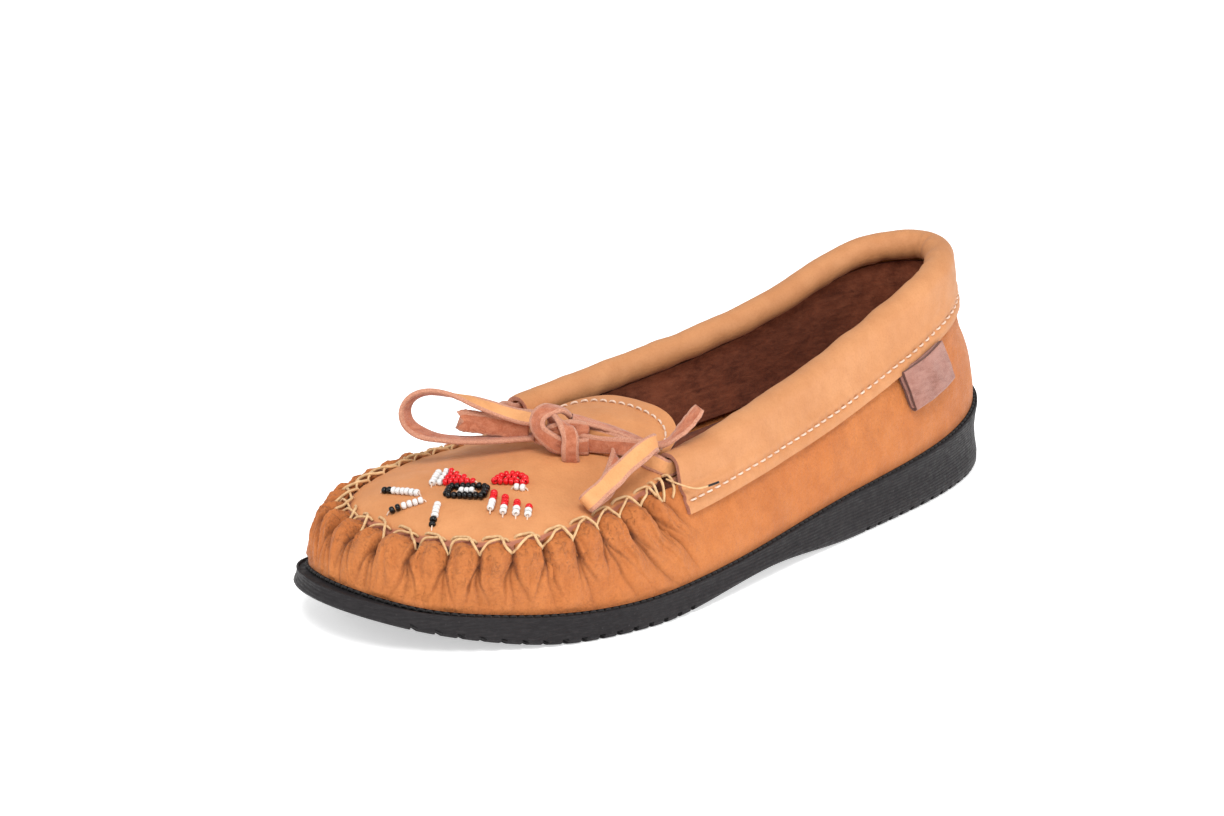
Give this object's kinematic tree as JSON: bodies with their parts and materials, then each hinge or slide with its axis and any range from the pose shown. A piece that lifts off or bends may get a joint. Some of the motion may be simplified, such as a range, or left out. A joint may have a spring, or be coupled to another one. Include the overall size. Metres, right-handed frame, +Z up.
{
  "type": "moccasin",
  "caption": "Left leather moccasin on a rubber sole: gathered plug with a geometric bead motif, tongue, rolled collar with a lace in it, bow and suede heel tab.",
  "frame": {"origin": "ground level, middle of the bounding box in plan", "axes": "-Y to the toe, +Y to the heel, +X to the outer side of the left foot, +Z up"},
  "size_m": [0.0898, 0.2498, 0.0739],
  "materials": {
    "rubber": "black moulded rubber, matte",
    "black_thread": "matte",
    "foam": "soft foam",
    "brown_suede": "suede",
    "wrap_leather": "soft deerskin grain, satin",
    "collar_leather": "soft deerskin grain, satin",
    "counter_board": "fibre board",
    "tab_suede": "suede",
    "lace_leather": "suede one side, grain the other",
    "waxed_thread": "waxed",
    "white_thread": "matte",
    "bead_white": "opaque glass, glossy",
    "bead_black": "opaque glass, glossy",
    "bead_red": "opaque glass, glossy"
  },
  "bodies": {
    "shoe": {"outsole": "rubber", "sole_stitching": "black_thread", "footbed_foam": "foam", "footbed_cover": "brown_suede", "wrap": "wrap_leather", "quarter_lining": "brown_suede", "heel_counter": "counter_board", "plug": "collar_leather", "collar": "collar_leather", "collar_stitching": "white_thread", "heel_seam_stitching": "waxed_thread", "lace_run": "lace_leather", "lace_knot": "lace_leather", "pucker_thread": "waxed_thread", "bead_bar_1": "bead_white", "bead_bar_2": "bead_white", "bead_bar_3": "bead_white", "bead_box_centre": "bead_white", "bead_wedge_end": "bead_white", "bead_dome_bar": "bead_white", "bead_box": "bead_black", "bead_wedge_1": "bead_red", "bead_wedge_2": "bead_red", "bead_wedge_3": "bead_red", "bead_wedge_4": "bead_red", "bead_dome_core": "bead_red", "bead_stripe_1": "bead_red", "bead_stripe_2": "bead_red", "bead_stripe_3": "bead_red", "bead_stripe_4": "bead_red", "bead_dome": "bead_red"},
    "heel_tab": {"heel_tab": "tab_suede"},
    "tongue": {"tongue": "collar_leather", "tongue_stitching": "white_thread"},
    "lace_loop_left": {"lace_loop_left": "lace_leather"},
    "lace_loop_right": {"lace_loop_right": "lace_leather"},
    "lace_end_left": {"lace_end_left": "lace_leather"},
    "lace_end_right": {"lace_end_right": "lace_leather"}
  },
  "joints": [
    {"name": "tongue_lift", "type": "hinge", "parent": "shoe", "child": "tongue", "pos_m": [-0.00212, -0.0345, 0.0431], "axis": [1, 0, 0], "range_deg": [0, 35]},
    {"name": "heel_tab_lift", "type": "hinge", "parent": "shoe", "child": "heel_tab", "pos_m": [0.02493, 0.07864, 0.04546], "axis": [0.1005, -0.9647, -0.2435], "range_deg": [0, 80]},
    {"name": "left_loop_swing", "type": "hinge", "parent": "shoe", "child": "lace_loop_left", "pos_m": [0.00388, -0.05, 0.046], "axis": [0, 0, 1], "range_deg": [-14, 14]},
    {"name": "left_end_swing", "type": "hinge", "parent": "shoe", "child": "lace_end_left", "pos_m": [0.00388, -0.05, 0.046], "axis": [0, 0, 1], "range_deg": [-14, 14]},
    {"name": "right_loop_lift", "type": "hinge", "parent": "shoe", "child": "lace_loop_right", "pos_m": [0.00388, -0.05, 0.046], "axis": [0, -1, 0], "range_deg": [0, 26]},
    {"name": "right_end_lift", "type": "hinge", "parent": "shoe", "child": "lace_end_right", "pos_m": [0.00388, -0.05, 0.046], "axis": [0.774, -0.6332, 0], "range_deg": [0, 40]}
  ]
}
